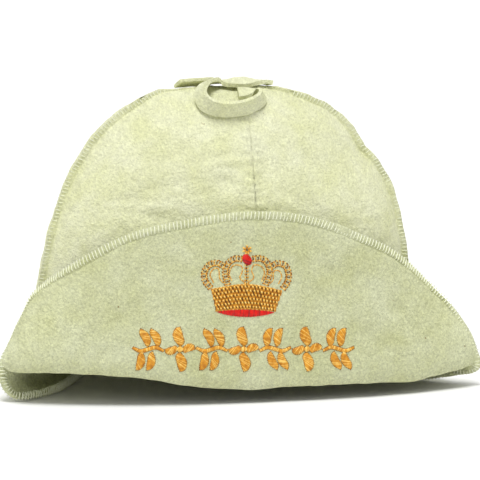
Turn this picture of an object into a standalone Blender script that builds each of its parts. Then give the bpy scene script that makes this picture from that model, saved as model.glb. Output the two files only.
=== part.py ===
"""Felt sauna hat: a hollow crown of four gores, a brim turned up high at the front, and a hanging loop.

Metres, +Z up. The front of the hat faces -Y. The lower edge of the brim rests on z = 0.
"""
import bmesh
import bpy
import numpy as np

# felt
FELT = 0.003            # thickness of the crown, the brim and the loop
SEAM_GAP = 0.0003       # air between two pieces that are sewn together
CREAM = (0.78, 0.80, 0.62, 1.0)
WOOL_ROUGHNESS = 0.95

# crown
CROWN_TOP = 0.216       # outside height of the crown
CROWN_LEFT = 0.1385     # outside half width at its lower edge
CROWN_RIGHT = 0.136
CROWN_DEPTH = 0.0765    # outside half depth at its lower edge
CROWN_FOOT = 0.038      # height of the seam between crown and brim
SEAM_X = 0.009          # the front and back seams lie right of the middle
PINCH = 0.16            # how far the side seams pull the round crown to a point
ROUND_TOP = 0.94        # share of the pinch that is lost at the top
SEAM_MIDDLE = 6         # the front and back seams reach the middle where the crown is this narrow
DENT_FADE = 8           # the dents start over this part of the height
FIN = 0.005             # how far the side seam allowance stands out
FIN_WALL = 0.0022       # felt squeezed flat by the overlock
FIN_FADE = 4            # the seam allowance grows where the crown is wider than this part
FIN_LEAST = 0.08        # and this share of it stays under the loop

# brim
CORNER_OUT = 0.0335     # how far the brim's corners stand out beyond the crown's foot
SPAN = CROWN_LEFT + CORNER_OUT
FOLD_OUT = 0.0045       # how far the fold stands out in front of the crown's foot
REACH = CROWN_DEPTH + FOLD_OUT
FLAP_TOP = 0.1378       # height of the turned-up edge at the front
FOLD_ARC = 0.0145       # length of felt that takes the bend at the fold
LEAST_DROP = 0.15       # how much the brim goes down at least where it leaves the crown

# loop
STRIP = 0.0125          # width of the loop's felt strip
LOOP_HALF = 0.025       # half width of the loop that it forms
LOOP_LIFT = 0.0010      # air under the strip

# Crown sections from the lower edge to the top.
# up: share of the height above the lower edge; left, right, depth: shares of the three half sizes
CROWN_SECTIONS = [
    # up     left   right  depth
    (0.000, 1.000, 1.000, 1.000),
    (0.180, 0.965, 0.957, 0.992),
    (0.320, 0.931, 0.929, 0.962),
    (0.460, 0.887, 0.889, 0.908),
    (0.600, 0.829, 0.833, 0.823),
    (0.713, 0.762, 0.742, 0.722),
    (0.809, 0.662, 0.638, 0.605),
    (0.888, 0.547, 0.530, 0.480),
    (0.944, 0.436, 0.384, 0.355),
    (0.978, 0.362, 0.262, 0.232),
    (0.993, 0.215, 0.190, 0.125),
    (1.000, 0.078, 0.078, 0.018),
]

# Dents and soft swellings of the crown.
# turn: degrees from the front, right side positive; up: share of the height
# push: how far inwards, as a share of the felt's thickness
# wide: degrees; tall: share of the height
CROWN_DENTS = [
    # turn   up     push   wide  tall
    (6.0, 0.700, 1.50, 16.0, 0.035),
    (-30.0, 0.620, 1.15, 22.0, 0.120),
    (48.0, 0.700, 1.30, 20.0, 0.090),
    (80.0, 0.735, 1.15, 22.0, 0.040),
    (-78.0, 0.700, 0.85, 20.0, 0.045),
    (-58.0, 0.400, -1.00, 24.0, 0.150),
    (62.0, 0.450, -0.85, 22.0, 0.130),
    (150.0, 0.560, 1.65, 30.0, 0.140),
    (-145.0, 0.430, 1.30, 28.0, 0.150),
    (178.0, 0.260, -1.00, 30.0, 0.100),
]

# Brim stations around the hat, from the back round the left, front and right.
# ring: degrees on the crown's lower edge; fold and edge: shares of SPAN, REACH and FLAP_TOP
# pitch: degrees that the felt at the fold points down; bend: share of a full turn back
BRIM_STATIONS = [
    # ring    fold x   fold y   fold z   edge x   edge y   edge z  pitch  bend
    (-150.0, -0.430, 0.880, 0.135, -0.405, 0.915, 0.000, 86.0, 0.00),
    (-126.0, -0.655, 0.600, 0.140, -0.560, 0.570, 0.000, 92.0, 0.02),
    (-107.0, -0.790, 0.185, 0.145, -0.665, 0.100, 0.000, 92.0, 0.05),
    (-95.0, -0.850, -0.060, 0.140, -0.765, -0.270, 0.000, 62.0, 0.04),
    (-89.0, -0.875, -0.190, 0.140, -0.901, -0.519, 0.000, 42.0, 0.04),
    (-84.0, -0.907, -0.321, 0.158, -0.965, -0.568, 0.029, 35.0, 0.04),
    (-79.0, -0.936, -0.407, 0.168, -1.008, -0.531, 0.112, 22.0, 0.14),
    (-74.0, -0.953, -0.495, 0.162, -0.995, -0.452, 0.196, -4.0, 0.42),
    (-69.0, -0.954, -0.570, 0.158, -0.942, -0.340, 0.280, -2.0, 0.66),
    (-64.0, -0.928, -0.645, 0.160, -0.886, -0.260, 0.412, 0.0, 0.84),
    (-58.0, -0.875, -0.730, 0.168, -0.825, -0.300, 0.555, 0.0, 0.96),
    (-49.0, -0.705, -0.850, 0.170, -0.680, -0.700, 0.750, 0.0, 1.00),
    (-36.0, -0.490, -0.945, 0.155, -0.480, -0.885, 0.900, 0.0, 1.00),
    (-19.0, -0.240, -0.990, 0.098, -0.230, -0.955, 0.970, 0.0, 1.00),
    (0.0, 0.010, -1.000, 0.071, 0.010, -0.975, 1.000, 0.0, 1.00),
    (19.0, 0.255, -0.975, 0.080, 0.250, -0.940, 0.965, 0.0, 1.00),
    (36.0, 0.490, -0.920, 0.070, 0.465, -0.850, 0.860, 0.0, 1.00),
    (49.0, 0.690, -0.820, 0.058, 0.640, -0.690, 0.740, 0.0, 1.00),
    (58.0, 0.820, -0.725, 0.080, 0.790, -0.490, 0.565, 0.0, 0.98),
    (64.0, 0.900, -0.655, 0.088, 0.890, -0.465, 0.440, 0.0, 0.86),
    (70.0, 0.938, -0.585, 0.100, 0.975, -0.500, 0.282, 2.0, 0.62),
    (76.0, 0.945, -0.500, 0.112, 1.026, -0.575, 0.122, 14.0, 0.30),
    (82.0, 0.915, -0.380, 0.120, 1.000, -0.545, 0.062, 31.0, 0.10),
    (89.0, 0.875, -0.240, 0.130, 0.925, -0.410, 0.040, 41.0, 0.03),
    (97.0, 0.830, -0.050, 0.140, 0.780, -0.190, 0.000, 60.0, 0.04),
    (108.0, 0.760, 0.220, 0.140, 0.660, 0.140, 0.000, 90.0, 0.03),
    (126.0, 0.630, 0.600, 0.140, 0.555, 0.590, 0.000, 90.0, 0.02),
    (150.0, 0.420, 0.880, 0.135, 0.400, 0.915, 0.000, 86.0, 0.00),
    (180.0, 0.000, 1.035, 0.135, 0.000, 1.110, 0.000, 80.0, 0.00),
]

# The strip's way over the top of the crown: the end at the back right, the dip over the seam,
# round the left, the standing part in front, and back inside to the seam.
# x, y: shares of the loop's half width; tilt: degrees that the strip leans from standing upright on
# the crown (0) to lying flat on it (90), towards the inside of the loop
LOOP_WAY = [
    # x      y      tilt
    (1.24, 0.34, 90.0),
    (0.94, 0.30, 92.0),
    (0.62, 0.18, 100.0),
    (0.36, 0.04, 108.0),
    (0.08, 0.04, 100.0),
    (-0.24, 0.10, 86.0),
    (-0.54, 0.02, 74.0),
    (-0.80, -0.20, 62.0),
    (-0.98, -0.52, 48.0),
    (-1.06, -0.84, 34.0),
    (-0.98, -1.10, 27.0),
    (-0.74, -1.28, 23.0),
    (-0.38, -1.38, 21.0),
    (0.04, -1.40, 20.0),
    (0.44, -1.34, 20.0),
    (0.76, -1.20, 22.0),
    (0.91, -1.02, 32.0),
    (0.88, -0.84, 55.0),
    (0.68, -0.70, 78.0),
    (0.42, -0.62, 90.0),
    (0.18, -0.60, 94.0),
]

# The strip's other end, behind the loop.
TAIL_WAY = [
    # x      y      tilt
    (-0.36, 0.70, 90.0),
    (-0.80, 0.66, 90.0),
    (-1.16, 0.58, 90.0),
    (-1.46, 0.50, 90.0),
]

GORE_STEPS = 13         # faces across a gore
GORE_ROWS = 17          # faces up a gore
BRIM_STEPS = 3          # faces between two stations
ARM_FACES = (4, 3, 8)   # faces on the brim's inner part, on the bend and on the flap
LOOP_STEPS = 3          # faces between two points of the loop's way
STRIP_CHECKS = 6        # places across the strip where it is kept clear of the crown
SMALL_SHARE = 0.002     # step for measuring the crown's slope, as a share of the height
SMALL_TURN = 0.5        # the same across, in degrees


def smooth(table, place):
    """A smooth curve through the rows of a table; place counts rows from 0."""
    rows = np.asarray(table, float)
    last = len(rows) - 1
    place = np.clip(place, 0, last)
    i = min(int(place), last - 1)
    t = place - i
    before, after = rows[max(i - 1, 0)], rows[min(i + 2, last)]
    start, end = rows[i], rows[i + 1]
    out, into = (end - before) / 2, (after - start) / 2
    return arc_between(start, out, end, into, t)


def around(table, place):
    """The same for a closed ring of rows, where the first column is degrees and grows by a full turn."""
    rows = np.asarray(table, float)
    count = len(rows)

    def row(k):
        kept = rows[k % count].copy()
        kept[0] += 360 * (k // count)
        return kept

    i = int(np.floor(place))
    start, end = row(i), row(i + 1)
    return arc_between(start, (end - row(i - 1)) / 2, end, (row(i + 2) - start) / 2, place - i)


def arc_between(start, out, end, into, t):
    """A cubic from start to end that leaves along out and arrives along into."""
    return (start * (2 * t**3 - 3 * t**2 + 1) + out * (t**3 - 2 * t**2 + t)
            + end * (3 * t**2 - 2 * t**3) + into * (t**3 - t**2))


def unit(v):
    return v / max(np.linalg.norm(v), 1e-12)


def crown_section(share):
    """Height and half sizes of the crown's outside at a share of the way from lower edge to top."""
    up, left, right, depth = smooth(CROWN_SECTIONS, share * (len(CROWN_SECTIONS) - 1))
    height = CROWN_FOOT + up * (CROWN_TOP - CROWN_FOOT)
    return height, left * CROWN_LEFT, right * CROWN_RIGHT, depth * CROWN_DEPTH


def roundness(height):
    """Power of the section's curve at a height: 1 is a plain ellipse, more is pinched at the sides."""
    return 1 + PINCH * (1 - ROUND_TOP * (height - CROWN_FOOT) / (CROWN_TOP - CROWN_FOOT))


def seam_place(left):
    """Where the front and back seams lie from side to side, for a section's left half width."""
    return SEAM_X * min(1, left / CROWN_LEFT * SEAM_MIDDLE)


def on_section(turn, section):
    """A point of the crown's outside: turn in degrees from the front, right side positive."""
    height, left, right, depth = section
    middle = seam_place(left)
    angle = np.radians(turn)
    wide = (right - middle) if np.sin(angle) > 0 else (left + middle)
    forward = np.sign(np.cos(angle)) * abs(np.cos(angle)) ** roundness(height)
    return np.array([middle + wide * np.sin(angle), -depth * forward, height])


def dent_depth(turn, up):
    """How far the crown is pushed in at a place; it fades to nothing at the lower edge."""
    total = 0.0
    for at, level, push, wide, tall in CROWN_DENTS:
        off = (turn - at + 180) % 360 - 180
        total += push * FELT * np.exp(-((off / wide) ** 2) - ((up - level) / tall) ** 2)
    return total * min(1, up * DENT_FADE)


def crown_skin(turn, share):
    """Outside point of the crown and its outward normal."""
    section = crown_section(share)
    point = on_section(turn, section)
    low = crown_section(max(share - SMALL_SHARE, 0))
    high = crown_section(min(share + SMALL_SHARE, 1))
    across = on_section(turn + SMALL_TURN, section) - on_section(turn - SMALL_TURN, section)
    upwards = on_section(turn, high) - on_section(turn, low)
    normal = unit(np.cross(across, upwards))
    if share == 0:
        normal = unit(normal * (1, 1, 0))
    up = (section[0] - CROWN_FOOT) / (CROWN_TOP - CROWN_FOOT)
    return point - normal * dent_depth(turn, up), normal


def solid(name, points, faces):
    """A closed mesh object with a felt material, shaded smooth."""
    mesh = bpy.data.meshes.new(name)
    mesh.from_pydata([tuple(p) for p in points], [], faces)
    work = bmesh.new()
    work.from_mesh(mesh)
    bmesh.ops.recalc_face_normals(work, faces=work.faces)
    if work.calc_volume(signed=True) < 0:
        bmesh.ops.reverse_faces(work, faces=work.faces)
    bmesh.ops.triangulate(work, faces=work.faces)
    work.to_mesh(mesh)
    work.free()
    mesh.polygons.foreach_set("use_smooth", [True] * len(mesh.polygons))
    thing = bpy.data.objects.new(name, mesh)
    bpy.context.collection.objects.link(thing)
    felt = bpy.data.materials.new(name)
    felt.use_nodes = True
    shader = felt.node_tree.nodes["Principled BSDF"]
    shader.inputs["Base Color"].default_value = CREAM
    shader.inputs["Roughness"].default_value = WOOL_ROUGHNESS
    mesh.materials.append(felt)
    return thing


def tube_faces(rings, size, closed):
    """Quads between neighbouring rings of the same size."""
    count = rings if closed else rings - 1
    return [
        (r * size + k, r * size + (k + 1) % size,
         (r + 1) % rings * size + (k + 1) % size, (r + 1) % rings * size + k)
        for r in range(count) for k in range(size)
    ]


def gore(name, side, face):
    """One crown panel. side is 1 on the right and -1 on the left; face is 1 in front, -1 behind."""
    points = []
    for row in range(GORE_ROWS + 1):
        share = row / GORE_ROWS
        section = crown_section(share)
        depth = section[3]
        wall = min(FIN_WALL, depth / 2)
        last = np.degrees(np.arccos((wall / depth) ** (1 / roundness(section[0]))))
        turns = [last * k / GORE_STEPS for k in range(GORE_STEPS + 1)]
        outer, inner = [], []
        for turn in turns + [90.0]:
            heading = side * (turn if face > 0 else 180 - turn)
            point, normal = crown_skin(heading, share)
            if turn == 0:
                normal = unit(normal * (0, 1, 1))
            if turn == 90:
                normal = unit(normal * (1, 0, 1))
                point = point * (1, 0, 1)
            shift = np.array([side, -face, 0]) * SEAM_GAP / 2
            outer.append(point + shift)
            inner.append(point + shift - normal * FELT)
        stand = FIN * np.clip(section[1] / CROWN_LEFT * FIN_FADE - 1, FIN_LEAST, 1)
        tip = outer[-1] + normal * stand
        edge = tip + np.array([0, -face, 0]) * wall
        ring = outer[:-1] + [edge, tip] + inner[::-1]
        points += ring
    size = len(ring)
    faces = tube_faces(GORE_ROWS + 1, size, False)
    count = GORE_STEPS + 1
    for base in (0, GORE_ROWS * size):
        at = [base + k for k in range(size)]
        for k in range(GORE_STEPS):
            faces.append((at[k], at[k + 1], at[size - 2 - k], at[size - 1 - k]))
        faces.append((at[count - 1], at[count], at[count + 1], at[count + 2]))
        faces.append((at[count - 1], at[count + 2], at[count + 3]))
    return solid(name, points, faces)


def brim_profile(place):
    """Centre line of the felt at one place around the brim, from the crown's seam to the free edge."""
    ring, fx, fy, fz, ex, ey, ez, pitch, bend = around(BRIM_STATIONS, place)
    skin, out = crown_skin((ring + 180) % 360 - 180, 0)
    seam = skin - out * FELT / 2 - np.array([0, 0, SEAM_GAP])
    fold = np.array([fx * SPAN, fy * REACH, fz * FLAP_TOP])
    edge = np.array([ex * SPAN, ey * REACH, max(ez, 0) * FLAP_TOP])
    away = unit((fold - seam) * (1, 1, 0))
    down = np.radians(pitch)
    way = away * np.cos(down) + np.array([0, 0, -np.sin(down)])
    inside = away * np.sin(down) + np.array([0, 0, np.cos(down)])
    half = max(min(bend, 1) * np.pi / 2, np.radians(0.5))
    reach = FOLD_ARC / 2
    side = way * reach * np.sin(half) / half
    rise = inside * reach * (1 - np.cos(half)) / half
    near, far = fold - side + rise, fold + side + rise
    arrive = way * np.cos(half) - inside * np.sin(half)
    leave = way * np.cos(half) + inside * np.sin(half)
    first, last = np.linalg.norm(near - seam), np.linalg.norm(edge - far)
    straight = unit(near - seam)
    drop = unit(straight * (1 - bend) + np.array([0, 0, -1]) * max(bend, LEAST_DROP))
    line = []
    inner_faces, bend_faces, flap_faces = ARM_FACES
    for k in range(inner_faces):
        t = k / inner_faces
        line.append(arc_between(seam, drop * first, near, arrive * first, t))
    for k in range(bend_faces):
        angle = half * (2 * k / bend_faces - 1)
        line.append(fold + way * reach * np.sin(angle) / half
                    + inside * reach * (1 - np.cos(angle)) / half)
    for k in range(flap_faces + 1):
        t = k / flap_faces
        start = leave * last
        end = (3 * (edge - far) - start) / 2    # the free end of the felt isn't bent
        line.append(arc_between(far, start, edge, end, t))
    return np.array(line)


def brim(name):
    """The whole brim: its centre lines all round, with half the felt's thickness on either side."""
    count = len(BRIM_STATIONS) * BRIM_STEPS
    grid = np.array([brim_profile(k / BRIM_STEPS) for k in range(count)])
    across = np.roll(grid, -1, 0) - np.roll(grid, 1, 0)
    along = np.gradient(grid, axis=1)
    normal = np.cross(along, across)
    for k in range(count):
        ring = around(BRIM_STATIONS, k / BRIM_STEPS)[0]
        seam_out = crown_skin((ring + 180) % 360 - 180, 0)[1]
        if np.dot(normal[k, 0], seam_out) > 0:
            normal[k] *= -1
        normal[k, 0] = -seam_out
        on_floor = grid[k, -1, 2] < FELT / 2
        if on_floor:
            normal[k, -1, 2] = 0
    normal /= np.linalg.norm(normal, axis=2, keepdims=True)
    over, under = grid + normal * FELT / 2, grid - normal * FELT / 2
    rings = np.concatenate([over, under[:, ::-1]], axis=1)
    rings[:, :, 2] = np.maximum(rings[:, :, 2], 0)
    size = rings.shape[1]
    return solid(name, rings.reshape(-1, 3), tube_faces(count, size, True))


def ground(x, y):
    """Height of the crown's outside at a place near its top."""
    low, high = 0.0, 1.0
    for _ in range(40):
        share = (low + high) / 2
        height, left, right, depth = crown_section(share)
        middle = seam_place(left)
        wide = (right - middle) if x > middle else (left + middle)
        inside = ((x - middle) / wide) ** 2 + (y / depth) ** 2 < 1
        low, high = (share, high) if inside else (low, share)
    return crown_section(low)[0]


def ground_normal(x, y):
    """The crown's upward normal at a place near its top."""
    step = FELT
    slope_x = (ground(x + step, y) - ground(x - step, y)) / (2 * step)
    slope_y = (ground(x, y + step) - ground(x, y - step)) / (2 * step)
    return unit(np.array([-slope_x, -slope_y, 1.0]))


def strip(name, way):
    """A flat felt strip that follows a table of places on the crown, raised until it clears the crown."""
    count = (len(way) - 1) * LOOP_STEPS
    stops = [smooth(way, k / LOOP_STEPS) for k in range(count + 1)]
    feet = [np.array([x * LOOP_HALF, y * LOOP_HALF, ground(x * LOOP_HALF, y * LOOP_HALF)])
            for x, y, _ in stops]
    frames = []
    for k, foot in enumerate(feet):
        along = unit(feet[min(k + 1, count)] - feet[max(k - 1, 0)])
        out = ground_normal(foot[0], foot[1])
        out = unit(out - along * np.dot(out, along))
        tilt = np.radians(stops[k][2])
        wide = out * np.cos(tilt) + np.cross(out, along) * np.sin(tilt)
        thick = np.cross(along, wide) * FELT / 2
        lift = 0.0
        for step in range(STRIP_CHECKS + 1):
            for side in (-1, 1):
                x, y, z = foot + wide * STRIP * step / STRIP_CHECKS + thick * side
                lift = max(lift, ground(x, y) - z)
        frames.append((lift, wide, thick))
    lifts = [frame[0] for frame in frames]
    points = []
    for k, (foot, (lift, wide, thick)) in enumerate(zip(feet, frames)):
        raised = max(lifts[max(k - 1, 0):k + 2]) + LOOP_LIFT
        low = foot + np.array([0, 0, raised])
        high = low + wide * STRIP
        points += [low - thick, low + thick, high + thick, high - thick]
    faces = tube_faces(count + 1, 4, False)
    faces += [(0, 1, 2, 3), tuple(count * 4 + k for k in (3, 2, 1, 0))]
    return solid(name, points, faces)


for old in list(bpy.data.objects):
    bpy.data.objects.remove(old, do_unlink=True)

pieces = [
    gore("gore_front_left", -1, 1),
    gore("gore_front_right", 1, 1),
    gore("gore_back_left", -1, -1),
    gore("gore_back_right", 1, -1),
    brim("brim"),
    strip("hanging_loop", LOOP_WAY),
    strip("loop_tail", TAIL_WAY),
]

# the origin goes to the middle of the hat's footprint
corners = np.array([v.co for piece in pieces for v in piece.data.vertices])
middle = (corners.min(0) + corners.max(0)) / 2
for piece in pieces:
    for v in piece.data.vertices:
        v.co.x -= middle[0]
        v.co.y -= middle[1]
print("pieces", len(pieces), "middle", middle[:2])
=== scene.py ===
import math

import bmesh
import bpy
import numpy as np
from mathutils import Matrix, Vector
from mathutils.bvhtree import BVHTree
from mathutils.kdtree import KDTree


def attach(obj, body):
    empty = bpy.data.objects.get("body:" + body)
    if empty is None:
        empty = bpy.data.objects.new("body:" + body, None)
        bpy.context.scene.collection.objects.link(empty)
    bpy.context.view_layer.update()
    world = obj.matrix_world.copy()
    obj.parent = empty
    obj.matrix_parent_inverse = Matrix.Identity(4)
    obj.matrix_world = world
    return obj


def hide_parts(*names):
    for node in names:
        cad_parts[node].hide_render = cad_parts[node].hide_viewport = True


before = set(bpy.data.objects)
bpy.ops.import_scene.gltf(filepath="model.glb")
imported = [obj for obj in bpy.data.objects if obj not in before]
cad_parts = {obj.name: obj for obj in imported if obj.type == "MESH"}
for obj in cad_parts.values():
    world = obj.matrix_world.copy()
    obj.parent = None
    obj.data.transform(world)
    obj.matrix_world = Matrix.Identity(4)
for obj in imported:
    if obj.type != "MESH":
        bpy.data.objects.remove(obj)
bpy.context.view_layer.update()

scene = bpy.context.scene


def deselectAll():
    if bpy.context.object and bpy.context.object.mode != "OBJECT":
        bpy.ops.object.mode_set(mode="OBJECT")
    bpy.ops.object.select_all(action="DESELECT")


def pick(piece):
    deselectAll()
    piece.select_set(True)
    bpy.context.view_layer.objects.active = piece


def applyAll(piece):
    pick(piece)
    for modifier in list(piece.modifiers):
        bpy.ops.object.modifier_apply(modifier=modifier.name)


def surfaceTree(piece):
    work = bmesh.new()
    work.from_mesh(piece.data)
    tree = BVHTree.FromBMesh(work)
    work.free()
    return tree


def smoothShade(piece):
    pick(piece)
    bpy.ops.object.shade_smooth()


def positions(mesh):
    co = np.zeros(len(mesh.vertices) * 3)
    mesh.vertices.foreach_get("co", co)
    return co.reshape(-1, 3)


def vertexNormals(mesh):
    normals = np.zeros(len(mesh.vertices) * 3)
    mesh.vertices.foreach_get("normal", normals)
    return normals.reshape(-1, 3)


def unitRows(rows):
    return rows / np.maximum(np.linalg.norm(rows, axis=1, keepdims=True), 1e-9)


def setPositions(mesh, co):
    mesh.vertices.foreach_set("co", co.ravel())
    mesh.update()


def newMaterial(name):
    material = bpy.data.materials.new(name)
    material.use_nodes = True
    nodes, links = material.node_tree.nodes, material.node_tree.links
    return material, nodes, links, nodes["Principled BSDF"]


def addNode(nodes, kind, **values):
    node = nodes.new(kind)
    for key, value in values.items():
        if key in node.inputs:
            node.inputs[key].default_value = value
        else:
            setattr(node, key, value)
    return node


def noiseAt(nodes, links, place, **values):
    noise = addNode(nodes, "ShaderNodeTexNoise", **values)
    links.new(place, noise.inputs["Vector"])
    return noise.outputs["Fac"]


def twoTones(nodes, links, share, start, stop, dark, light):
    tone = addNode(nodes, "ShaderNodeValToRGB")
    for element, position, colour in zip(tone.color_ramp.elements, (start, stop), (dark, light)):
        element.position = position
        element.color = (*colour, 1)
    links.new(share, tone.inputs["Fac"])
    return tone.outputs["Color"]


def bumpOver(nodes, links, height, strength, distance, under=None):
    bump = addNode(nodes, "ShaderNodeBump", Strength=strength, Distance=distance)
    links.new(height, bump.inputs["Height"])
    if under is not None:
        links.new(under, bump.inputs["Normal"])
    return bump.outputs["Normal"]


def below(nodes, links, value, limit):
    test = addNode(nodes, "ShaderNodeMath", operation="LESS_THAN")
    test.inputs[1].default_value = limit
    links.new(value, test.inputs[0])
    return test.outputs[0]


def combined(nodes, links, first, second, operation):
    both = addNode(nodes, "ShaderNodeMath", operation=operation)
    links.new(first, both.inputs[0])
    links.new(second, both.inputs[1])
    return both.outputs[0]


def feltMaterial(name, look):
    material, nodes, links, shader = newMaterial(name)
    at = addNode(nodes, "ShaderNodeTexCoord").outputs["Object"]

    # cloudy tone of the pressed wool
    cloud = noiseAt(nodes, links, at, Scale=look["cloudScale"], Detail=3.0, Roughness=0.6)
    tone = twoTones(nodes, links, cloud, *look["cloudRange"], look["shade"], look["light"])

    # short hairs in three directions
    hairs = None
    for turn in look["hairTurns"]:
        mapping = addNode(nodes, "ShaderNodeMapping", Rotation=turn, Scale=look["hairStretch"])
        links.new(at, mapping.inputs["Vector"])
        strand = noiseAt(nodes, links, mapping.outputs["Vector"], Scale=look["hairScale"], Detail=3.0,
                         Roughness=0.65, Distortion=0.6)
        hairs = strand if hairs is None else combined(nodes, links, hairs, strand, "MAXIMUM")
    hairTone = addNode(nodes, "ShaderNodeMapRange")
    ends = (*look["hairRange"], look["hairDark"], 1.0)
    for socket, value in zip(("From Min", "From Max", "To Min", "To Max"), ends):
        hairTone.inputs[socket].default_value = value
    links.new(hairs, hairTone.inputs["Value"])
    fibre = addNode(nodes, "ShaderNodeMix", data_type="RGBA", blend_type="MULTIPLY")
    fibre.inputs["Factor"].default_value = 1.0
    links.new(tone, fibre.inputs["A"])
    links.new(hairTone.outputs["Result"], fibre.inputs["B"])

    # a few brown specks of chaff in the wool
    speck = addNode(nodes, "ShaderNodeTexVoronoi", Scale=look["speckScale"])
    links.new(at, speck.inputs["Vector"])
    near = below(nodes, links, speck.outputs["Distance"], look["speckSize"])
    split = addNode(nodes, "ShaderNodeSeparateColor")
    links.new(speck.outputs["Color"], split.inputs["Color"])
    chosen = below(nodes, links, split.outputs["Red"], look["speckShare"])
    specked = addNode(nodes, "ShaderNodeMix", data_type="RGBA")
    links.new(combined(nodes, links, near, chosen, "MULTIPLY"), specked.inputs["Factor"])
    links.new(fibre.outputs["Result"], specked.inputs["A"])
    specked.inputs["B"].default_value = (*look["speck"], 1)
    links.new(specked.outputs["Result"], shader.inputs["Base Color"])

    # felted surface: faint creases, soft pebbles over them, the hairs on top
    crease = noiseAt(nodes, links, at, Scale=look["creaseScale"], Detail=3.0, Roughness=0.55, Distortion=1.2)
    pebble = noiseAt(nodes, links, at, Scale=look["pebbleScale"], Detail=4.0, Roughness=0.6)
    low = bumpOver(nodes, links, crease, look["creaseBump"], look["creaseHigh"])
    middle = bumpOver(nodes, links, pebble, look["pebbleBump"], look["pebbleHigh"], low)
    high = bumpOver(nodes, links, hairs, look["hairBump"], look["hairHigh"], middle)
    links.new(high, shader.inputs["Normal"])
    shader.inputs["Roughness"].default_value = look["rough"]
    shader.inputs["Specular IOR Level"].default_value = look["shine"]
    shader.inputs["Sheen Weight"].default_value = look["sheen"]
    shader.inputs["Sheen Roughness"].default_value = 0.6
    shader.inputs["Sheen Tint"].default_value = (*look["light"], 1)
    return material


feltLook = {
    "light": (0.845, 0.875, 0.570),
    "shade": (0.745, 0.770, 0.425),
    "speck": (0.24, 0.17, 0.07),
    "cloudScale": 38.0, "cloudRange": (0.32, 0.68),
    "hairScale": 620.0, "hairRange": (0.45, 0.75),
    "hairTurns": ((0.3, 0.2, 0.5), (1.4, 0.7, 2.1), (2.3, 1.5, 0.9)),
    "hairStretch": (1.0, 0.16, 1.0),
    "hairDark": 0.60,
    "speckScale": 62.0,
    "speckSize": 0.035,
    "speckShare": 0.16,
    "pebbleScale": 420.0, "pebbleBump": 1.0, "pebbleHigh": 0.0012,
    "hairBump": 1.0, "hairHigh": 0.0010,
    "creaseScale": 75.0, "creaseBump": 0.22, "creaseHigh": 0.006,
    "rough": 0.95, "shine": 0.15, "sheen": 0.15,
}
felt = feltMaterial("woolFelt", feltLook)

# the crown and the loop take a lighter copy of the brim's felt: painted light on the top of the hat
paintedLightLook = dict(feltLook, light=(0.960, 0.975, 0.680), shade=(0.880, 0.900, 0.530), hairDark=0.68)
paintedLightFelt = feltMaterial("woolFeltPaintedLight", paintedLightLook)


def threadMaterial(name, light, dark, gloss, grain):
    material, nodes, links, shader = newMaterial(name)
    at = addNode(nodes, "ShaderNodeTexCoord").outputs["Object"]
    fleck = noiseAt(nodes, links, at, Scale=grain, Detail=2.0)
    links.new(twoTones(nodes, links, fleck, 0.35, 0.65, dark, light), shader.inputs["Base Color"])
    ply = noiseAt(nodes, links, at, Scale=grain * 6, Detail=2.0)
    links.new(bumpOver(nodes, links, ply, 0.3, 0.0002), shader.inputs["Normal"])
    shader.inputs["Roughness"].default_value = gloss
    shader.inputs["Specular IOR Level"].default_value = 0.35
    return material


creamThread = threadMaterial("creamThread", (0.93, 0.95, 0.76), (0.82, 0.84, 0.60), 0.6, 500.0)
# gold thread, a pale copy of it as painted highlight, and a dark brown one as painted shadow
goldThread = threadMaterial("goldThread", (0.80, 0.38, 0.035), (0.56, 0.21, 0.012), 0.32, 420.0)
goldThreadPaintedHighlight = threadMaterial("goldThreadPaintedHighlight", (0.98, 0.70, 0.20), (0.84, 0.47, 0.07), 0.30, 420.0)
paintedShadowThread = threadMaterial("paintedShadowThread", (0.25, 0.11, 0.015), (0.13, 0.05, 0.008), 0.5, 420.0)
redThread = threadMaterial("redThread", (0.80, 0.014, 0.006), (0.60, 0.008, 0.005), 0.38, 420.0)
darkRedThread = threadMaterial("darkRedThread", (0.46, 0.020, 0.020), (0.30, 0.010, 0.012), 0.42, 420.0)
chaffFibre = threadMaterial("chaffFibre", (0.30, 0.20, 0.08), (0.16, 0.10, 0.04), 0.7, 300.0)
print("materials made")


def cleanCopy(node, name):
    piece = bpy.data.objects.new(name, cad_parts[node].data.copy())
    scene.collection.objects.link(piece)
    piece.data.materials.clear()
    pick(piece)
    bpy.ops.mesh.customdata_custom_splitnormals_clear()
    bpy.ops.object.mode_set(mode="EDIT")
    bpy.ops.mesh.select_all(action="SELECT")
    bpy.ops.mesh.remove_doubles(threshold=0.00002)
    bpy.ops.mesh.tris_convert_to_quads(face_threshold=math.pi, shape_threshold=math.pi,
                                       topology_influence=2.0)
    bpy.ops.object.mode_set(mode="OBJECT")
    return piece


def creaseEdges(piece, angle, crease):
    pick(piece)
    bpy.ops.object.mode_set(mode="EDIT")
    bpy.ops.mesh.select_all(action="DESELECT")
    bpy.ops.mesh.edges_select_sharp(sharpness=angle)
    bpy.ops.transform.edge_crease(value=crease)
    bpy.ops.object.mode_set(mode="OBJECT")


def softLumps(piece, lumps):
    for size, height in lumps:
        wool = bpy.data.textures.new(f"wool{size}", "CLOUDS")
        wool.noise_scale = size
        wool.noise_depth = 2
        push = piece.modifiers.new("lumps", "DISPLACE")
        push.texture = wool
        push.texture_coords = "LOCAL"
        push.strength = height
        push.mid_level = 0.5


def subdivide(piece, levels):
    finer = piece.modifiers.new("finer", "SUBSURF")
    finer.levels = finer.render_levels = levels
    applyAll(piece)


foldFade = 0.010


def pressFolds(piece, folds, front):
    # soft folds that push the front back, and fade out towards the depth given as front
    co = positions(piece.data)
    fade = np.clip((front - co[:, 1]) / foldFade, 0, 1)
    for x, high, turn, long, wide, deep in folds:
        c, s = math.cos(math.radians(turn)), math.sin(math.radians(turn))
        dx, dz = co[:, 0] * 1000 - x, co[:, 2] * 1000 - high
        along, across = dx * c + dz * s, dz * c - dx * s
        co[:, 1] += fade * deep / 1000 * np.exp(-((along / long) ** 2) - (across / wide) ** 2)
    setPositions(piece.data, co)


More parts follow.
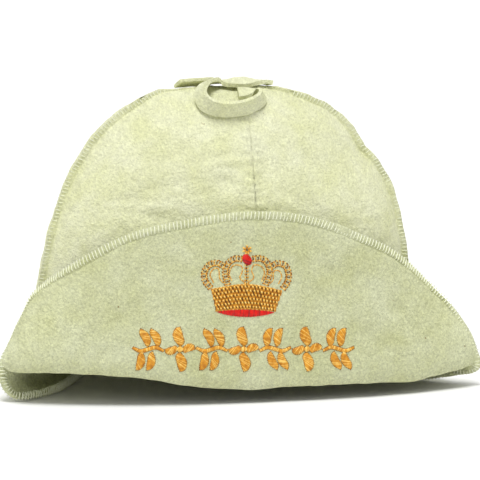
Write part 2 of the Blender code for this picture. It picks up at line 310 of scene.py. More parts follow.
# each fold: x, height, turn in degrees, half length, half width and depth, in mm
crownFolds = (
    (-12, 173, 8, 14, 3.0, 1.5), (-10, 165, -6, 12, 2.6, 1.3), (-14, 155, 10, 10, 6.0, 2.0),
    (17, 170, 80, 9, 3.0, 1.2), (15, 157, 70, 8, 3.5, 1.3), (50, 165, -50, 18, 4.5, 1.6),
    (62, 150, -60, 16, 4.5, 1.5), (38, 142, -30, 20, 4.0, 1.2), (-78, 142, 4, 22, 3.2, 1.5),
    (-72, 132, -4, 24, 3.5, 1.4), (-60, 151, 12, 16, 3.6, 1.3), (-40, 178, 35, 18, 4.5, 1.3),
    (88, 130, -70, 16, 4.0, 1.3),
)
flapFolds = (
    (-122, 64, 60, 15, 3.6, 1.8), (-110, 57, 55, 19, 3.8, 1.7), (-95, 62, 50, 18, 4.2, 1.5),
    (-98, 40, 20, 22, 4.0, 1.4), (-70, 98, 32, 20, 4.5, 1.4), (-34, 11, 2, 38, 3.6, 1.3),
    (108, 62, -46, 18, 4.4, 1.8), (122, 46, -52, 15, 3.8, 1.5), (92, 40, -32, 18, 4.0, 1.4),
    (60, 92, -24, 20, 4.4, 1.4), (70, 14, -3, 34, 3.6, 1.2),
)


panelLook = {
    "levels": 3,
    "crease": 0.75,
    "seamX": 0.00773,       # the front and back seams
    "seamTop": (0.2152, 0.2160, 0.00295),
    "sideY": -0.00245,      # the side seams lie in this plane
    "reach": 0.0007,        # how near to a seam its edges are
    "foot": 0.0376, "footReach": 0.0008,
    "sewnGap": 0.00003,
    "foldsFrom": 0.008,     # the folds start this far in front of the side seams
    "groove": 0.0004,
    "grooveWidth": 0.0016,
    "pucker": 0.0006, "puckerPitch": 0.0062,
    "puckerAt": 0.0032, "puckerWidth": 0.0036,
    "drift": 1.7, "driftRate": 210,
    "lumps": ((0.030, 0.0022), (0.012, 0.0013), (0.006, 0.0005)),
}


def seamAt(height, look):
    start, end, last = look["seamTop"]
    return np.interp(height, (start, end), (look["seamX"], last))


def seamEdges(piece, look):
    co = positions(piece.data)
    front = np.abs(co[:, 0] - seamAt(co[:, 2], look)) < look["reach"]
    beside = np.abs(co[:, 1] - look["sideY"]) < look["reach"]
    return front, beside, co[:, 2] < look["foot"] + look["footReach"]


def sewTogether(piece, look, side, face, edges):
    # the gap that the solids keep is closed, so neighbours meet in the seam
    front, beside, low = edges
    co = positions(piece.data)
    co[front, 0] = seamAt(co[front, 2], look) - side * look["sewnGap"]
    co[beside, 1] = look["sideY"] + face * look["sewnGap"]
    co[low, 2] = look["foot"]
    setPositions(piece.data, co)


def hump(off, at, width):
    return np.exp(-(((off - at) / width) ** 2))


def seamPuckers(piece, look, face):
    mesh = piece.data
    co, normals = positions(mesh), vertexNormals(mesh)
    off = np.abs(co[:, 0] - seamAt(co[:, 2], look))
    outer = (normals[:, 1] * face < -0.1) | (normals[:, 2] > 0.5)
    groove = look["groove"] * hump(off, 0, look["grooveWidth"])
    drift = look["drift"] * np.sin(co[:, 2] * look["driftRate"])
    wave = np.sin(2 * np.pi * co[:, 2] / look["puckerPitch"] + drift)
    pucker = look["pucker"] * wave * hump(off, look["puckerAt"], look["puckerWidth"])
    inSeam = unitRows(normals * (0, 1, 1))
    setPositions(mesh, co - inSeam * (outer * (groove - pucker))[:, None])


panels = {}
for node, side, face in (("gore_front_left", -1, 1), ("gore_front_right", 1, 1),
                         ("gore_back_left", -1, -1), ("gore_back_right", 1, -1)):
    piece = cleanCopy(node, node.replace("gore", "panel"))
    creaseEdges(piece, math.radians(55), panelLook["crease"])
    subdivide(piece, panelLook["levels"])
    edges = seamEdges(piece, panelLook)
    softLumps(piece, panelLook["lumps"])
    applyAll(piece)
    seamPuckers(piece, panelLook, face)
    pressFolds(piece, crownFolds, panelLook["sideY"] - panelLook["foldsFrom"])
    sewTogether(piece, panelLook, side, face, edges)
    smoothShade(piece)
    piece.data.materials.append(paintedLightFelt)
    panels[node] = piece
print("crown panels", {n: len(p.data.polygons) for n, p in panels.items()})


def evenSteps(line, pitch, closed):
    line = np.asarray(line)
    if closed:
        line = np.concatenate([line, line[:1]])
    gaps = np.linalg.norm(np.diff(line, axis=0), axis=1)
    reach = np.concatenate([[0], np.cumsum(gaps)])
    count = int(round(reach[-1] / pitch))
    stops = np.linspace(0, reach[-1], count, endpoint=False)
    return stops, reach


def between(stops, reach, rows, closed):
    rows = np.asarray(rows)
    if closed:
        rows = np.concatenate([rows, rows[:1]])
    return np.stack([np.interp(stops, reach, rows[:, k]) for k in range(rows.shape[1])], axis=1)


brimLook = {
    "levels": 2,
    "crease": 0.22,
    "rimCuts": 4, "rimNear": 0.0026, "rimFar": 0.0060, "rimStep": 0.0012,
    "foldsFrom": -0.045,
    "groove": 0.0008,
    "grooveAt": 0.0060,
    "grooveWidth": 0.0009,
    "roll": 0.00035,        # the felt swells between the hem threads
    "rollAt": 0.0030,
    "rollWidth": 0.0018,
    "lumps": ((0.034, 0.0022), (0.014, 0.0012), (0.006, 0.0005)),
}


# middle of the brim's free edge all round, from the back over the left side, the front
# and the right side, in mm
rimStations = [
    (-71.0, 71.7, 0.0), (-97.6, 43.7, 0.0), (-115.6, 5.7, 0.0), (-132.8, -24.3, 0.0), (-156.2, -44.5, 0.0),
    (-167.2, -48.5, 4.0), (-174.6, -45.5, 15.4), (-172.4, -39.1, 27.0), (-163.3, -30.0, 38.6),
    (-153.7, -23.5, 56.8), (-143.2, -26.7, 76.5), (-118.2, -59.1, 103.4), (-83.8, -74.1, 124.0),
    (-40.8, -79.8, 133.7), (0.5, -81.4, 137.8), (41.7, -78.6, 133.0), (78.7, -71.3, 118.5),
    (108.8, -58.3, 102.0), (134.6, -42.1, 77.9), (151.8, -40.1, 60.6), (166.4, -42.9, 38.9),
    (175.2, -49.0, 16.8), (170.7, -46.6, 8.5), (157.8, -35.7, 5.5), (132.9, -17.8, 0.0),
    (112.3, 8.9, 0.0), (94.2, 45.3, 0.0), (67.5, 71.7, 0.0), (-1.3, 87.5, 0.0),
]


def closedCurve(stations, steps):
    rows = np.asarray(stations, float)
    count = len(rows)
    result = []
    for k in range(count):
        before, start, end, after = (rows[(k + j) % count] for j in (-1, 0, 1, 2))
        for t in np.arange(steps) / steps:
            result.append(start * (2 * t**3 - 3 * t**2 + 1) + (end - before) / 2 * (t**3 - 2 * t**2 + t)
                          + end * (3 * t**2 - 2 * t**3) + (after - start) / 2 * (t**3 - t**2))
    return np.array(result)


def rimFrames(piece):
    tree = surfaceTree(piece)
    middles = closedCurve(rimStations, 8) / 1000
    middles[:, 2] = np.maximum(middles[:, 2], 0)
    along = unitRows(np.roll(middles, -1, 0) - np.roll(middles, 1, 0))
    inward, off = [], []
    for m in middles:
        _, normal, _, away = tree.find_nearest(Vector(m))
        inward.append(-np.array(normal))
        off.append(away)
    inward = np.array(inward)
    for _ in range(2):
        inward = (np.roll(inward, 1, 0) + inward * 2 + np.roll(inward, -1, 0)) / 4
    inward = unitRows(inward - along * np.sum(inward * along, axis=1, keepdims=True))
    print("rim off the felt by", round(max(off) * 1000, 2), "mm")
    return middles, np.cross(along, inward), inward


def rimDistance(co):
    line = between(*evenSteps(rimMiddles, brimLook["rimStep"], True), rimMiddles, True)
    tree = KDTree(len(line))
    for k, p in enumerate(line):
        tree.insert(p, k)
    tree.balance()
    return np.array([tree.find(p)[2] for p in co])


def cutNearRim(piece, look):
    pick(piece)
    mesh = piece.data
    off = rimDistance(positions(mesh))
    bpy.ops.object.mode_set(mode="EDIT")
    bpy.ops.mesh.select_mode(type="EDGE")
    bpy.ops.mesh.select_all(action="DESELECT")
    bpy.ops.object.mode_set(mode="OBJECT")
    for edge in mesh.edges:
        a, b = off[edge.vertices[0]], off[edge.vertices[1]]
        edge.select = min(a, b) < look["rimNear"] and max(a, b) > look["rimFar"]
    bpy.ops.object.mode_set(mode="EDIT")
    bpy.ops.mesh.subdivide(number_cuts=look["rimCuts"], smoothness=0)
    bpy.ops.object.mode_set(mode="OBJECT")


def pressRim(piece, look):
    mesh = piece.data
    co, normals = positions(mesh), vertexNormals(mesh)
    off = rimDistance(co)
    roll = look["roll"] * hump(off, look["rollAt"], look["rollWidth"])
    groove = look["groove"] * hump(off, look["grooveAt"], look["grooveWidth"])
    co += normals * (roll - groove)[:, None]
    co[:, 2] = np.maximum(co[:, 2], 0)                  # the hem stands on the floor
    setPositions(mesh, co)
    pressFolds(piece, flapFolds, look["foldsFrom"])


brimSheet = cleanCopy("brim", "brim_felt")
rimMiddles, rimAcross, rimInward = rimFrames(brimSheet)
creaseEdges(brimSheet, math.radians(60), brimLook["crease"])
cutNearRim(brimSheet, brimLook)
subdivide(brimSheet, brimLook["levels"])
softLumps(brimSheet, brimLook["lumps"])
applyAll(brimSheet)
pressRim(brimSheet, brimLook)
smoothShade(brimSheet)
brimSheet.data.materials.append(felt)
print("brim", len(brimSheet.data.polygons))


loopLook = {"bevel": 0.0006, "levels": 2, "lumps": ((0.012, 0.0006), (0.004, 0.0003))}


def feltStrip(node, name):
    piece = cleanCopy(node, name)
    bevel = piece.modifiers.new("cut edge", "BEVEL")
    bevel.width = loopLook["bevel"]
    bevel.segments = 2
    bevel.limit_method = "ANGLE"
    bevel.angle_limit = math.radians(50)
    applyAll(piece)
    subdivide(piece, loopLook["levels"])
    softLumps(piece, loopLook["lumps"])
    applyAll(piece)
    smoothShade(piece)
    piece.data.materials.append(paintedLightFelt)
    return piece


loop = feltStrip("hanging_loop", "loop_felt")
tail = feltStrip("loop_tail", "tail_felt")
print("loop", len(loop.data.polygons))


threadLook = {"sides": 5, "endShare": 0.12, "endSize": 0.35, "sunk": 0.00008}


def shapeOf(piece):
    mesh = piece.data
    shape = positions(mesh), [tuple(p.vertices) for p in mesh.polygons]
    bpy.data.objects.remove(piece)
    return shape


def extrudeBy(step):
    bpy.ops.mesh.extrude_region_move(TRANSFORM_OT_translate={"value": step})


def oneThread(look):
    start = 0.5 - look["endShare"]
    deselectAll()
    bpy.ops.mesh.primitive_circle_add(vertices=look["sides"], radius=0.5, fill_type="NGON",
                                      location=(-0.5, 0, 0), rotation=(0, math.pi / 2, 0))
    piece = bpy.context.object
    bpy.ops.object.transform_apply(location=True, rotation=True, scale=True)
    bpy.ops.object.mode_set(mode="EDIT")
    bpy.ops.mesh.select_all(action="SELECT")
    small = look["endSize"]
    bpy.ops.transform.resize(value=(1, small, small), center_override=(-0.5, 0, 0))
    place = -0.5
    for stop, size in ((-start, 1 / small), (0.0, 1.0), (start, 1.0), (0.5, small)):
        extrudeBy((stop - place, 0, 0))
        bpy.ops.transform.resize(value=(1, size, size), center_override=(stop, 0, 0))
        place = stop
    bpy.ops.mesh.select_all(action="SELECT")
    bpy.ops.mesh.normals_make_consistent(inside=False)
    bpy.ops.object.mode_set(mode="OBJECT")
    return shapeOf(piece)


# the ends of an overlock stitch dive into the felt, and its legs bulge a little
overlockEnd = {"inwards": 0.0008, "down": 0.0010, "past": 0.0004, "bulge": 0.0001}


def oneOverlock(look):
    # across the felt is x, into the felt from its edge is y
    end = overlockEnd
    leg = (look["depth"] + end["past"] - end["down"]) / 2
    deselectAll()
    bpy.ops.mesh.primitive_circle_add(
        vertices=5, radius=look["thread"], fill_type="NGON", rotation=(math.pi / 2, 0, 0),
        location=(look["half"] - end["inwards"], look["depth"] + end["past"], 0))
    piece = bpy.context.object
    bpy.ops.object.transform_apply(location=True, rotation=True, scale=True)
    bpy.ops.object.mode_set(mode="EDIT")
    bpy.ops.mesh.select_all(action="SELECT")
    for step in ((end["inwards"], -end["down"], 0), (end["bulge"], -leg, 0), (-end["bulge"], -leg, 0)):
        extrudeBy(step)
    bpy.ops.mesh.spin(steps=4, angle=math.pi, center=(0, 0, 0), axis=(0, 0, -1))
    for step in ((-end["bulge"], leg, 0), (end["bulge"], leg, 0), (end["inwards"], end["down"], 0)):
        extrudeBy(step)
    bpy.ops.mesh.select_all(action="SELECT")
    bpy.ops.mesh.remove_doubles(threshold=0.00002)
    bpy.ops.mesh.normals_make_consistent(inside=False)
    bpy.ops.object.mode_set(mode="OBJECT")
    points, faces = shapeOf(piece)
    points[:, 1] = np.where(points[:, 1] < 0, points[:, 1] * look["hug"], points[:, 1])
    return points, faces


def joinShapes(name, shapes, materials):
    points, faces, slots = [], [], []
    base = 0
    for shapePoints, shapeFaces, slot in shapes:
        points.append(shapePoints)
        faces += [tuple(i + base for i in f) for f in shapeFaces]
        slots += [slot] * len(shapeFaces)
        base += len(shapePoints)
    mesh = bpy.data.meshes.new(name)
    mesh.from_pydata(np.concatenate(points).tolist(), [], faces)
    for material in materials:
        mesh.materials.append(material)
    mesh.polygons.foreach_set("material_index", slots)
    piece = bpy.data.objects.new(name, mesh)
    scene.collection.objects.link(piece)
    smoothShade(piece)
    return piece


hemLook = {"pitch": 0.0027, "depth": 0.0052, "thread": 0.00040, "half": 0.00185, "slant": 0.10,
           "hug": 0.30, "lengthSpread": 0.06, "slantSpread": 0.5}


def stitchAt(points, place, across, inward, along):
    return place + points[:, :1] * across + points[:, 1:2] * inward + points[:, 2:] * along


def hemStitches(look):
    stops, reach = evenSteps(rimMiddles, look["pitch"], True)
    middles = between(stops, reach, rimMiddles, True)
    across = unitRows(between(stops, reach, rimAcross, True))
    inward = unitRows(between(stops, reach, rimInward, True))
    points, faces = oneOverlock(look)
    shapes = []
    draw = np.random.default_rng(7)
    for m, a, w in zip(middles, across, inward):
        t = np.cross(a, w)
        lean = w * (1 + look["lengthSpread"] * draw.standard_normal())
        lean = lean + t * look["slant"] * (1 + look["slantSpread"] * draw.standard_normal())
        shapes.append((stitchAt(points, m, a, lean, t), faces, 0))
    return joinShapes("hem_stitches", shapes, [creamThread])


hemThreads = hemStitches(hemLook)
print("hem stitches", len(hemThreads.data.polygons))


seamLook = {"pitch": 0.0027, "depth": 0.0038, "thread": 0.00034, "half": 0.00255, "slant": 0.10,
            "hug": 0.25, "slantSpread": 0.4, "clear": 0.046,
            "inFront": 0.0012, "middle": 0.09, "lowest": 0.045, "angles": (-28, 88, 0.5)}


def finLine(side, look):
    # the edge of the side seam, met by rays that fan in towards the middle of the crown
    tree = surfaceTree(panels["gore_front_left" if side < 0 else "gore_front_right"])
    centre = Vector((0, panelLook["sideY"] - look["inFront"], look["middle"]))
    line = []
    for angle in np.radians(np.arange(*look["angles"])):
        way = Vector((side * math.cos(angle), 0, math.sin(angle)))
        hit = tree.ray_cast(centre + way * 0.5, -way, 0.5)[0]
        if hit and hit.z > look["lowest"]:
            line.append((hit.x, panelLook["sideY"], hit.z))
    line = np.array(line)
    for _ in range(3):
        line[1:-1] = (line[:-2] + line[1:-1] * 2 + line[2:]) / 4
    return line


def seamStitches(look):
    points, faces = oneOverlock(look)
    shapes = []
    draw = np.random.default_rng(11)
    for side in (-1, 1):
        line = finLine(side, look)
        stops, reach = evenSteps(line, look["pitch"], False)
        tips = between(stops, reach, line, False)
        along = unitRows(np.gradient(tips, axis=0))
        for m, t in zip(tips, along):
            if abs(m[0]) < look["clear"]:               # the strip of the loop lies here
                continue
            w = np.cross(t, (0, 1, 0))
            w = -w if w[0] * side > 0 else w            # towards the crown
            a = np.cross(w, t)
            lean = w + t * look["slant"] * (1 + look["slantSpread"] * draw.standard_normal())
            shapes.append((stitchAt(points, m, a, lean, t), faces, 0))
    return joinShapes("side_seam_stitches", shapes, [creamThread])


seamThreads = seamStitches(seamLook)
print("side seam stitches", len(seamThreads.data.polygons))


cameraLook = {"turn": -11.0, "up": 10.0, "away": 8.0, "right": 0.00858, "high": 0.10149,
              "across": 0.3456}

turn, up = math.radians(cameraLook["turn"]), math.radians(cameraLook["up"])
toCamera = Vector((math.sin(turn) * math.cos(up), -math.cos(turn) * math.cos(up), math.sin(up)))
cameraRight = Vector((math.cos(turn), math.sin(turn), 0))
cameraUp = toCamera.cross(cameraRight)
aim = cameraRight * cameraLook["right"] + cameraUp * cameraLook["high"]

cameraData = bpy.data.cameras.new("camera")
cameraData.sensor_width = 36
cameraData.lens = 36 * cameraLook["away"] / cameraLook["across"]
cameraData.clip_end = 100
camera = bpy.data.objects.new("camera", cameraData)
scene.collection.objects.link(camera)
camera.location = aim + toCamera * cameraLook["away"]
camera.rotation_mode = "QUATERNION"
camera.rotation_quaternion = toCamera.to_track_quat("Z", "Y")
scene.camera = camera

studioLook = {"floorSize": 24, "floorHeight": -0.0008, "floorTone": 0.93, "sky": 0.58}

deselectAll()
bpy.ops.mesh.primitive_plane_add(size=studioLook["floorSize"], location=(0, 0, studioLook["floorHeight"]))
floor = bpy.context.object
floor.name = "floor"
pale, _, _, paleShader = newMaterial("paleFloor")
paleShader.inputs["Base Color"].default_value = (*[studioLook["floorTone"]] * 3, 1)
paleShader.inputs["Roughness"].default_value = 0.9
floor.data.materials.append(pale)

world = bpy.data.worlds.new("studio")
scene.world = world
world.use_nodes = True
sky = world.node_tree.nodes["Background"]
sky.inputs["Color"].default_value = (1, 1, 1, 1)
sky.inputs["Strength"].default_value = studioLook["sky"]


lightLook = {"from": (-0.10, -0.31, 0.95), "power": 2.3, "softness": 0.45}


def softLight(name, look):
    lamp = bpy.data.lights.new(name, "SUN")
    lamp.energy = look["power"]
    lamp.angle = look["softness"]
    thing = bpy.data.objects.new(name, lamp)
    scene.collection.objects.link(thing)
    thing.rotation_mode = "QUATERNION"
    thing.rotation_quaternion = Vector(look["from"]).to_track_quat("Z", "Y")


softLight("overheadLight", lightLook)
scene.view_settings.view_transform = "Standard"
print("camera and light set")


flapTree = surfaceTree(brimSheet)
threadPoints, threadFaces = oneThread(threadLook)


def onFlap(spot):
    start = cameraRight * float(spot[0]) + cameraUp * float(spot[1]) + toCamera * 0.4
    hit, normal, _, _ = flapTree.ray_cast(start, -toCamera, 0.8)
    if normal.dot(toCamera) < 0:
        normal = -normal
    return np.array(hit), np.array(normal)


def layThread(start, end, width, high, lift, slot):
    # one thread on the flap between two places seen from the front, arched by lift
    a, normalA = onFlap(start)
    b, normalB = onFlap(end)
    normal = normalA + normalB
    normal /= np.linalg.norm(normal)
    way = b - a
    side = np.cross(normal, way)
    side /= max(np.linalg.norm(side), 1e-9)
    x, y, z = threadPoints.T
    rise = z * high + lift * np.sqrt(np.maximum(1 - (2 * x) ** 2, 0)) - threadLook["sunk"]
    points = (a + b) / 2 + x[:, None] * way + y[:, None] * width * side + rise[:, None] * normal
    return points, threadFaces, slot


def curveThrough(points, count):
    points = np.asarray(points, float)
    place = np.linspace(0, len(points) - 1, count)
    padded = np.concatenate([[2 * points[0] - points[1]], points, [2 * points[-1] - points[-2]]])
    result = []
    for s in place:
        i = min(int(s), len(points) - 2)
        t = s - i
        a, b, c, d = padded[i:i + 4]
        result.append(0.5 * (2 * b + (c - a) * t + (2 * a - 5 * b + 4 * c - d) * t**2
                             + (3 * b - a - 3 * c + d) * t**3))
    return np.array(result)


def evenLine(points, pitch):
    rough = curveThrough(points, 200)
    reach = np.concatenate([[0], np.cumsum(np.linalg.norm(np.diff(rough, axis=0), axis=1))])
    count = max(int(reach[-1] / pitch), 3)
    line = between(np.linspace(0, reach[-1], count), reach, rough, False)
    return line, unitRows(np.gradient(line, axis=0))


satinLook = {
    "pitch": 0.00046, "width": 0.00064, "high": 0.00042,
    "lift": 0.00075, "leastLift": 0.3, "fullLiftAt": 0.002,
    "narrowest": 0.00025, "spread": 0.03,
    # a brown thread round each column, as painted shadow along its edges
    "paintedShadowEdge": 0.00042, "paintedShadowPitch": 0.0009, "paintedShadowWidth": 1.3,
    "paintedShadowHigh": 0.0003, "paintedShadowLift": 0.0001,
}
satinDraw = np.random.default_rng(23)


def crossways(way):
    return np.array([-way[1], way[0]])


def columnPlaces(points, halfWidths, pitch, slant):
    # along a satin column: place, direction of the thread, half its length
    line, along = evenLine(points, pitch)
    widths = np.interp(np.linspace(0, 1, len(line)), np.linspace(0, 1, len(halfWidths)), halfWidths)
    return zip(line, [crossways(a) + a * slant for a in along], widths)


def satinColumn(points, halfWidths, slots=(0, 0, 0, 1), slant=0.35, lift=1.0, paintedShadowEdge=2):
    look = satinLook
    threads = []
    # brown threads round the column, painted shadow at its edges
    if paintedShadowEdge is not None:
        for p, out, w in columnPlaces(points, halfWidths, look["paintedShadowPitch"], slant):
            w += look["paintedShadowEdge"]
            threads.append(layThread(p - out * w, p + out * w, look["paintedShadowPitch"] * look["paintedShadowWidth"],
                                     look["paintedShadowHigh"], look["paintedShadowLift"], paintedShadowEdge))
    # by default one thread in four is pale gold, a painted highlight
    for p, out, w in columnPlaces(points, halfWidths, look["pitch"], slant):
        if w < look["narrowest"]:
            continue
        w *= 1 + look["spread"] * satinDraw.standard_normal()
        rise = look["lift"] * lift * min(1, look["leastLift"] + w / look["fullLiftAt"])
        threads.append(layThread(p - out * w, p + out * w, look["width"], look["high"], rise,
                                 slots[satinDraw.integers(len(slots))]))
    return threads


def leafWidths(widest, count=9):
    return [widest * math.sin(math.pi * k / (count - 1)) ** 0.7 for k in range(count)]


# a row of four-petalled flowers and leafy sprigs, joined by a running thread; sizes in metres
rowLook = {
    "middle": (0.0111, 0.0238),
    "step": 0.0226,
    "petalUp": 0.0158, "petalUpHalf": 0.0042,
    "petalSide": 0.0104, "petalSideHalf": 0.0034,
    "petalFrom": 0.14, "petalBend": 0.25,
    "heart": 0.0024,
    "sprig": 0.0108, "leafHalf": 0.0033,
    "slant": 0.55,          # of the threads in petals and leaves
    "join": 0.0024, "joinShare": 0.42, "joinThread": (0.0006, 0.0004, 0.0001),
    "stemHalves": (0.0009, 0.0014, 0.0015, 0.0014, 0.0009),
    "stemBend": ((-1.0, -0.10), (-0.5, 0.12), (0.0, 0.0), (0.5, -0.12), (1.0, 0.10)),
    "leaves": ((-0.62, 1), (0.06, 1), (-0.30, -1), (0.38, -1)),
    "leafCurve": ((0.0, 0.16), (0.10, 0.80), (0.42, 1.36)),
}


def petal(centre, angle, length, half):
    way = np.array([math.cos(angle), math.sin(angle)])
    bend = crossways(way) * half * rowLook["petalBend"]
    foot, tip = centre + way * length * rowLook["petalFrom"], centre + way * length
    return satinColumn([foot, (foot + tip) / 2 + bend, tip], leafWidths(half), slant=rowLook["slant"])


def flower(centre, look):
    threads = []
    for k, (length, half) in enumerate(((look["petalSide"], look["petalSideHalf"]),
                                        (look["petalUp"], look["petalUpHalf"])) * 2):
        threads += petal(centre, math.pi / 2 * k, length, half)
    # the heart is mostly pale gold, a painted highlight
    heart = np.array([look["heart"], 0])
    threads += satinColumn([centre - heart, centre, centre + heart], leafWidths(look["heart"]), (1, 1, 0),
                           0.1, 1.6)
    return threads


def sprig(centre, look, side):
    size = look["sprig"]
    stem = [centre + size * np.array((x * side, y)) for x, y in look["stemBend"]]
    threads = satinColumn(stem, look["stemHalves"], slant=0.2, lift=0.8)
    for foot, up in look["leaves"]:
        points = [centre + size * np.array(((foot + x) * side, y * up)) for x, y in look["leafCurve"]]
        threads += satinColumn(points, leafWidths(look["leafHalf"]), slant=look["slant"])
    return threads


def flowerRow(look):
    middle, step = np.array(look["middle"]), np.array([look["step"], 0.0])
    half = look["join"] * look["joinShare"]
    line, along = evenLine([middle - 3 * step, middle, middle + 3 * step], look["join"])
    threads = [layThread(p - a * half, p + a * half, *look["joinThread"], 0) for p, a in zip(line, along)]
    for k in range(-3, 4):
        spot = middle + k * step
        threads += sprig(spot, look, 1 if k > 0 else -1) if k % 2 else flower(spot, look)
    return joinShapes("ornament_stitches", threads, [goldThread, goldThreadPaintedHighlight, paintedShadowThread])


ornament = flowerRow(rowLook)
print("ornament", len(ornament.data.polygons))


# the embroidered crown; places in mm to the right of its middle and above the foot of its band
crownLook = {
    "middle": (0.01326, 0.0511),
    "grain": 0.00150, "grainWidth": 0.00100, "grainHigh": 0.0008, "grainLift": 0.0002,
    "bandRows": 6, "bandColumns": 19, "bandLean": 0.25, "underLevels": (0.125, 0.375, 0.625, 0.875),
    "bandTop": ((-24.9, 15.3), (0.0, 18.7), (25.3, 14.5)),
    "bandFoot": ((-21.6, 0.0), (0.0, 1.5), (20.2, -0.5)),
    "lining": ((-21.6, -0.7), (0.0, -1.7), (20.2, -1.2)), "liningHalf": 0.0029,
    "orb": (0.3, 36.4), "orbHalf": 0.0037,
    "post": ((0.0, 19.4), (0.0, 26.0), (0.0, 32.4)), "postPitch": 0.00165, "postSide": 0.0009,
    "finial": (0.3, 43.4), "finialReach": 0.0029, "finialTurns": (90, 30, 150, -20, 200, -70, 250),
}
# rows of grains that make a bow: pitch, turn, thread of each grain, row's offset, grain's size. The brown
# grains are painted shadow round the beads, the pale gold ones painted highlight
bowRows = (
    (0.00200, 0.0, (2,), 0.00205, 0.8), (0.00200, 0.0, (2,), -0.00205, 0.8),
    (0.00160, 0.35, (0, 1, 0), 0.00165, 1.0), (0.00160, -0.35, (0, 0, 1), -0.00165, 1.0),
    (0.00170, 1.05, (0, 2), 0.00066, 0.85), (0.00170, -1.05, (1, 2), -0.00066, 0.85),
)
# threads of a cell of the band: foot and top up the cell, each with its lean; width, height, lift,
# slot. A leaning gold thread, a pale one over it as painted highlight, and a brown one in the gap to the
# next cell as painted shade
cellThreads = (((-0.52, 1.0), (0.52, -1.0), 0.00130, 0.0009, 0.0005, 0),
               ((-0.22, 0.0), (0.34, -0.5), 0.00125, 0.0010, 0.0010, 1))
gapThread = ((-0.24, 0.0), (0.24, 0.0), 0.00075, 0.0009, 0.0007, 2)
# threads of a petal of the finial: start and end along it, width, height, lift, slot
finialThreads = ((0.3, 1.1, 0.0015, 0.0008, 0.0004, 0), (0.7, 1.2, 0.0012, 0.0007, 0.0007, 1))
bigBows = (
    ((-13.6, 18.9), (-15.2, 27.4), (-13.1, 33.8), (-8.4, 37.0), (-3.6, 36.8)),
    ((13.6, 18.9), (16.4, 27.6), (14.8, 34.0), (10.4, 37.2), (4.6, 37.0)),
)
sideBows = (
    ((-25.8, 16.6), (-29.6, 21.8), (-29.8, 28.0), (-26.2, 32.8), (-20.6, 34.0), (-16.2, 31.6)),
    ((26.0, 16.0), (29.4, 21.2), (29.8, 27.0), (27.4, 32.2), (22.0, 33.8), (17.4, 31.4)),
)
innerLines = (
    ((-10.7, 22.0), (-12.3, 25.8), (-11.3, 30.0), (-8.2, 32.6), (-3.6, 31.6), (-3.2, 27.5), (-4.8, 23.4),
     (-0.6, 19.6)),
    ((10.9, 21.4), (12.7, 27.0), (10.6, 31.6), (5.4, 32.6), (3.6, 28.5), (5.0, 23.6), (0.6, 19.6)),
    ((-23.6, 20.4), (-26.0, 25.6), (-23.4, 29.8), (-19.9, 29.6), (-19.2, 23.2), (-16.8, 20.2)),
    ((22.9, 19.6), (25.0, 24.2), (23.2, 28.4), (19.4, 28.0), (18.8, 22.2), (16.9, 19.8)),
)


def onCrown(rows):
    return np.array(crownLook["middle"]) + np.asarray(rows, float) / 1000


def beadLine(points, pitch, turn, slots, offset=0.0, size=1.0):
    # a row of grains along a line, each turned from it and set off to its side
    threads = []
    line, along = evenLine(points, pitch)
    grain = crownLook["grain"] * size
    for k, (p, a) in enumerate(zip(line, along)):
        out = crossways(a)
        way = a * math.cos(turn) + out * math.sin(turn)
        spot = p + out * offset
        threads.append(layThread(spot - way * grain / 2, spot + way * grain / 2, crownLook["grainWidth"],
                                 crownLook["grainHigh"], crownLook["grainLift"], slots[k % len(slots)]))
    return threads


def bow(points):
    threads = []
    for pitch, turn, slots, offset, size in bowRows:
        threads += beadLine(points, pitch, turn, slots, offset, size)
    return threads


def cellThread(spot, up, lean, thread):
    (foot, footLean), (top, topLean), width, high, lift, slot = thread
    return layThread(spot + up * foot + lean * footLean, spot + up * top + lean * topLean, width, high, lift,
                     slot)


def latticeBand(look):
    threads = []
    count = 160
    top, foot = (curveThrough(onCrown(look[edge]), count) for edge in ("bandTop", "bandFoot"))
    quarters = np.linalg.norm(top - foot, axis=1) / 8
    # an underlay in which one thread in three is brown, painted shade between the grains
    for level in look["underLevels"]:
        threads += satinColumn(foot * (1 - level) + top * level, quarters * 1.1, (0, 0, 2), 0.0, 0.35, None)
    rows, columns = look["bandRows"], look["bandColumns"]
    for row in range(rows):
        level = (row + 0.5) / rows
        line = foot * (1 - level) + top * level
        for column in range(columns):
            share = (column + (0.25 if row % 2 else 0.75)) / columns
            at = int(share * (count - 1))
            up = (top - foot)[at] / rows
            beside = line[at] + (line[-1] - line[0]) / columns / 2
            lean = -crossways(up) * look["bandLean"]
            threads += [cellThread(line[at], up, lean, thread) for thread in cellThreads]
            if column < columns - 1:
                threads.append(cellThread(beside, up, lean, gapThread))
    for edge in (top, foot):
        threads += beadLine(edge[::20], 0.0013, 0.0, (0, 1), 0.0, 0.85)
    return threads


def orbStitches(look):
    orb = onCrown([look["orb"]])[0]
    tall = np.array([0, look["orbHalf"]])
    ball = [look["orbHalf"] * math.sqrt(1 - x * x) for x in np.linspace(-0.98, 0.98, 15)]
    threads = satinColumn([orb - tall, orb + tall * 0.1], ball[:9], (4, 4, 3), 0.3, 1.3, None)
    return threads + satinColumn([orb, orb + tall], ball[7:], (3,), 0.3, 1.5, None)


def finialStitches(look):
    centre = onCrown([look["finial"]])[0]
    threads = []
    for angle in np.radians(look["finialTurns"]):
        way = np.array([math.cos(angle), math.sin(angle)]) * look["finialReach"]
        for start, end, *size in finialThreads:
            threads.append(layThread(centre + way * start, centre + way * end, *size))
    # a brown thread in the middle of the finial, painted shade
    threads.append(layThread(centre - (0.0007, 0), centre + (0.0007, 0), 0.0013, 0.0010, 0.0007, 2))
    return threads


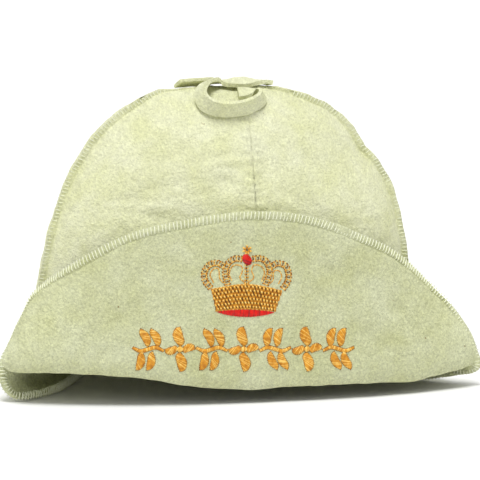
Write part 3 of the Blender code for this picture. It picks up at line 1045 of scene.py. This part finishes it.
def embroideredCrown(look):
    # threads: 0 gold, 1 pale gold as painted highlight, 2 brown as painted shadow, 3 red, 4 dark red
    lining = onCrown(look["lining"])
    threads = satinColumn(lining, leafWidths(look["liningHalf"]), (3, 3, 3, 4), 0.12, 1.0, None)
    threads += latticeBand(look)
    for points in sideBows + bigBows:
        threads += bow(onCrown(points))
    for points in innerLines:
        threads += beadLine(onCrown(points), 0.00125, 0.0, (1, 0, 0), 0.0, 0.8)
    post, side = onCrown(look["post"]), look["postSide"]
    # the middle row of the post is brown, painted shade between its two rows of grains
    rows = ((0.0, (2,), 0.0, 1.0), (0.7, (1, 0), side, 1.1), (-0.7, (0, 1), -side, 1.1))
    for turn, slots, offset, size in rows:
        threads += beadLine(post, look["postPitch"], turn, slots, offset, size)
    threads += orbStitches(look) + finialStitches(look)
    return joinShapes("crown_stitches", threads,
                      [goldThread, goldThreadPaintedHighlight, paintedShadowThread, redThread, darkRedThread])


crownThreads = embroideredCrown(crownLook)
print("embroidered crown", len(crownThreads.data.polygons))


chaffLook = {"count": 90, "shortest": 0.0008, "longest": 0.0034, "leastShare": 0.4, "thick": 0.00022,
             "proud": 0.00006, "bend": 0.25}


def chaff(look):
    # bits of straw and dark hair that stay in the wool
    chance = np.random.default_rng(41)
    shapes = []
    sources = list(panels.values()) + [brimSheet]
    for k in range(look["count"]):
        mesh = sources[k % len(sources)].data
        face = mesh.polygons[int(chance.integers(len(mesh.polygons)))]
        normal = np.array(face.normal)
        way = np.cross(normal, chance.standard_normal(3))
        length = chance.uniform(look["shortest"], look["longest"]) * chance.uniform(look["leastShare"], 1)
        way *= length / np.linalg.norm(way)
        side = np.cross(normal, way)
        side /= np.linalg.norm(side)
        x, y, z = threadPoints.T
        bend = look["bend"] * np.linalg.norm(way) * (2 * x) ** 2
        points = (np.array(face.center) + normal * look["proud"] + x[:, None] * way
                  + (y * look["thick"] + bend)[:, None] * side + (z * look["thick"])[:, None] * normal)
        shapes.append((points, threadFaces, 0))
    return joinShapes("wool_chaff", shapes, [chaffFibre])


chaffBits = chaff(chaffLook)
print("chaff", len(chaffBits.data.polygons))


def dress(piece, node):
    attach(piece, "root")
    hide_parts(node)


# hang the threads and the felt pieces from the root, and hide the solids that the felt replaces
for threads in (hemThreads, seamThreads, ornament, crownThreads, chaffBits):
    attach(threads, "root")
sheets = dict(panels, brim=brimSheet, hanging_loop=loop, loop_tail=tail)
for node, piece in sheets.items():
    dress(piece, node)
